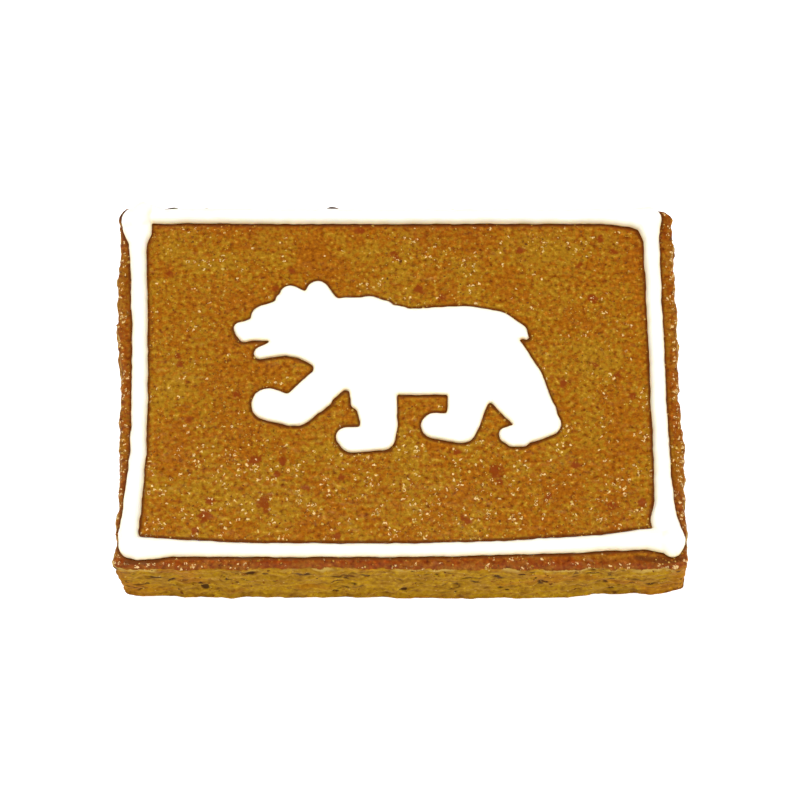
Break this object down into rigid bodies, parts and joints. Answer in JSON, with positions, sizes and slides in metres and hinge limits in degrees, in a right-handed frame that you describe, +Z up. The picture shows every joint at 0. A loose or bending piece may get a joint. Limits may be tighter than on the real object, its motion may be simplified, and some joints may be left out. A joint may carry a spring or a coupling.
{
  "type": "iced hazelnut lebkuchen",
  "caption": "Oblong baked hazelnut lebkuchen, lying flat, with a piped white icing border and a walking bear of flooded white icing on top.",
  "frame": {"origin": "centre of the underside, on the surface that the slab lies on", "axes": "+X along the slab's length, towards the bear's tail; +Y across it, towards the bear's back; +Z up out of the iced face"},
  "size_m": [0.1118, 0.0807, 0.0161],
  "materials": {
    "baked_dough": "golden brown baked nut dough with a sticky glazed top and a dry torn side",
    "white_icing": "smooth dried sugar icing, white with a slight cream tone"
  },
  "bodies": {
    "root": {"baked_slab": "baked_dough", "icing_border": "white_icing", "icing_bear": "white_icing"}
  },
  "joints": []
}
